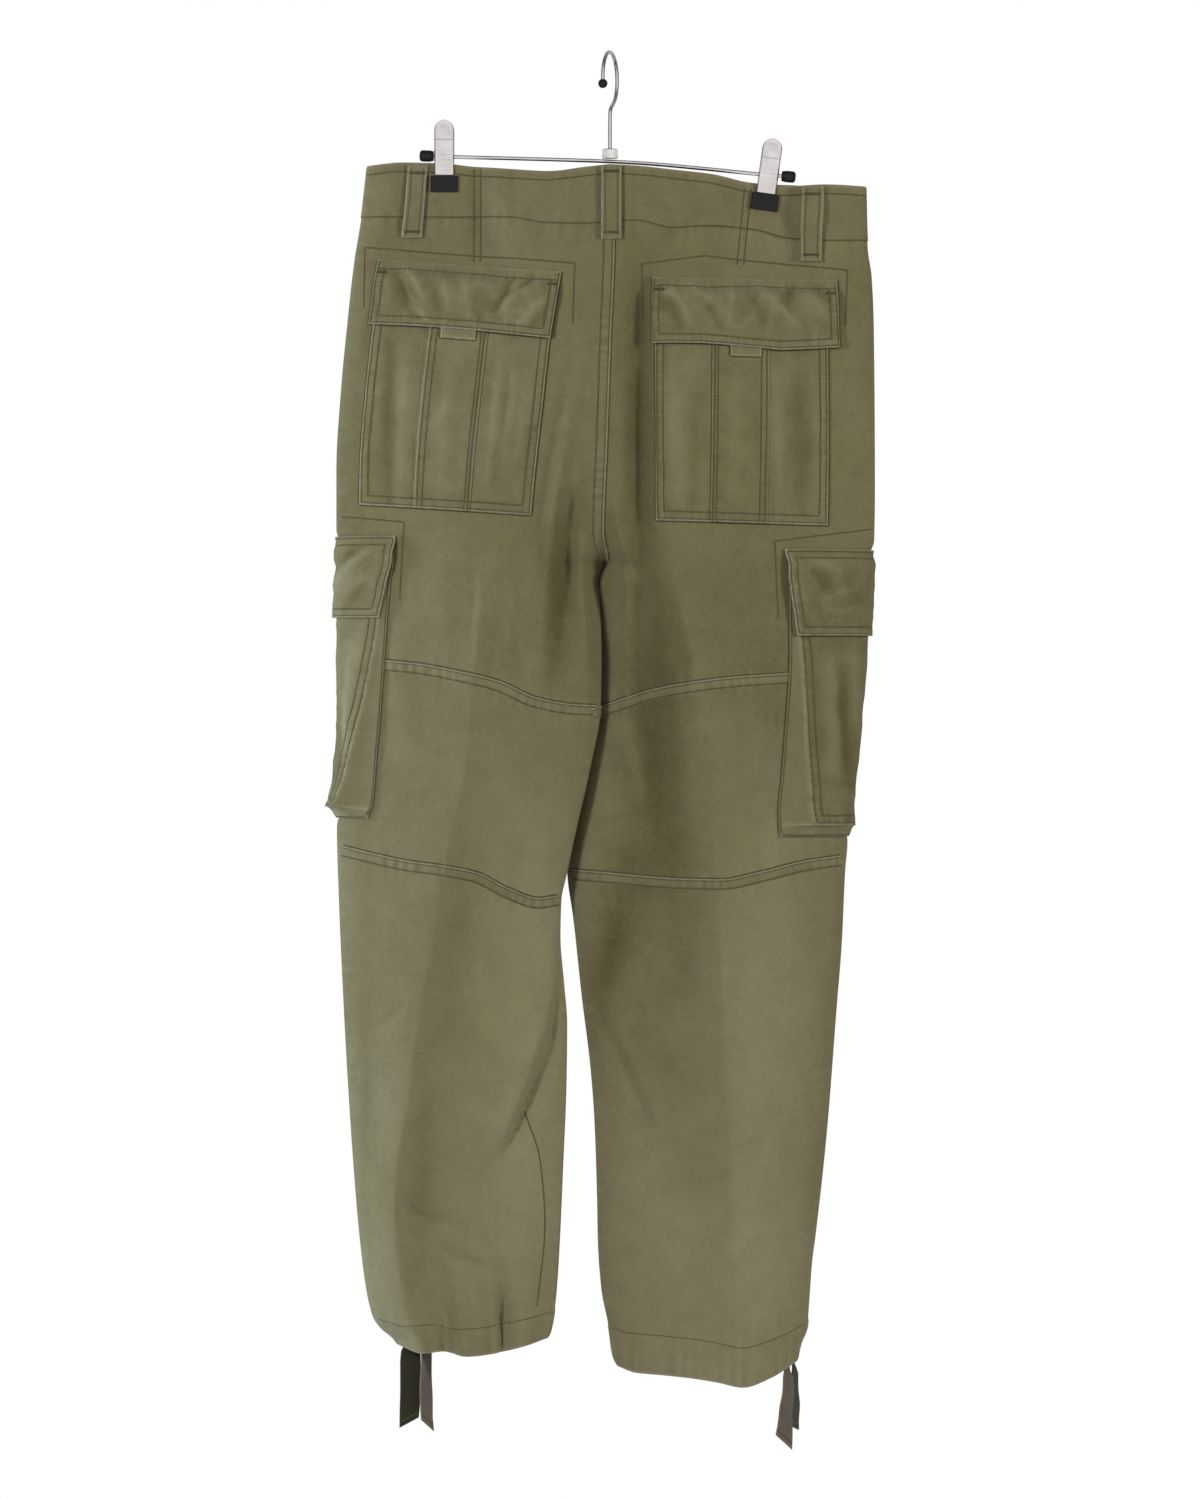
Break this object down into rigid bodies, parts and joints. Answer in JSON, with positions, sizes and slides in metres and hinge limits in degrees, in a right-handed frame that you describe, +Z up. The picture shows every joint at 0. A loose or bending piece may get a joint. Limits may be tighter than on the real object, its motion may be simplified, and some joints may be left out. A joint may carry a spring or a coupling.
{
  "type": "cargo pants on a clip hanger",
  "caption": "Baggy cargo trousers with flapped back and side pockets, seamed knees and hem ties, hung by the waistband from a wire bar hanger with clips.",
  "frame": {"origin": "underside of the hanger hook's crown, where a rail carries it", "axes": "+Z up, +X to the wearer's right, +Y towards the front of the trousers, so their back faces -Y"},
  "size_m": [0.4936, 0.0949, 1.2483],
  "materials": {
    "cloth": "matt cotton twill",
    "cloth_worn": "matt cotton twill, rubbed pale at the edges",
    "tape": "matt woven tape",
    "chrome": "polished",
    "black_rubber": "satin",
    "button": "satin"
  },
  "bodies": {
    "root": {"back_flap_left": "cloth_worn", "back_flap_right": "cloth_worn", "back_left": "cloth", "back_pocket_left": "cloth_worn", "back_pocket_right": "cloth_worn", "back_right": "cloth", "bar_cap_left": "black_rubber", "bar_cap_right": "black_rubber", "belt_loop_back_centre": "cloth_worn", "belt_loop_back_left": "cloth_worn", "belt_loop_back_right": "cloth_worn", "belt_loop_front_left": "cloth_worn", "belt_loop_front_right": "cloth_worn", "cargo_flap_left": "cloth_worn", "cargo_flap_right": "cloth_worn", "cargo_pocket_left": "cloth_worn", "cargo_pocket_right": "cloth_worn", "clip_left_back_pad": "black_rubber", "clip_left_back_plate": "chrome", "clip_left_front_pad": "black_rubber", "clip_left_front_plate": "chrome", "clip_left_spring": "chrome", "clip_right_back_pad": "black_rubber", "clip_right_back_plate": "chrome", "clip_right_front_pad": "black_rubber", "clip_right_front_plate": "chrome", "clip_right_spring": "chrome", "flap_tab_left": "cloth_worn", "flap_tab_right": "cloth_worn", "fly_placket": "cloth_worn", "front_left": "cloth", "front_right": "cloth", "hanger_bar": "chrome", "hanger_collar": "chrome", "hanger_hook": "chrome", "hem_tie_left_inner": "tape", "hem_tie_left_outer": "tape", "hem_tie_right_inner": "tape", "hem_tie_right_outer": "tape", "hook_tip": "black_rubber", "knee_back_left": "cloth", "knee_back_right": "cloth", "knee_front_left": "cloth", "knee_front_right": "cloth", "lower_leg_back_left": "cloth", "lower_leg_back_right": "cloth", "lower_leg_front_left": "cloth", "lower_leg_front_right": "cloth", "waist_button": "button", "waistband": "cloth"}
  },
  "joints": []
}
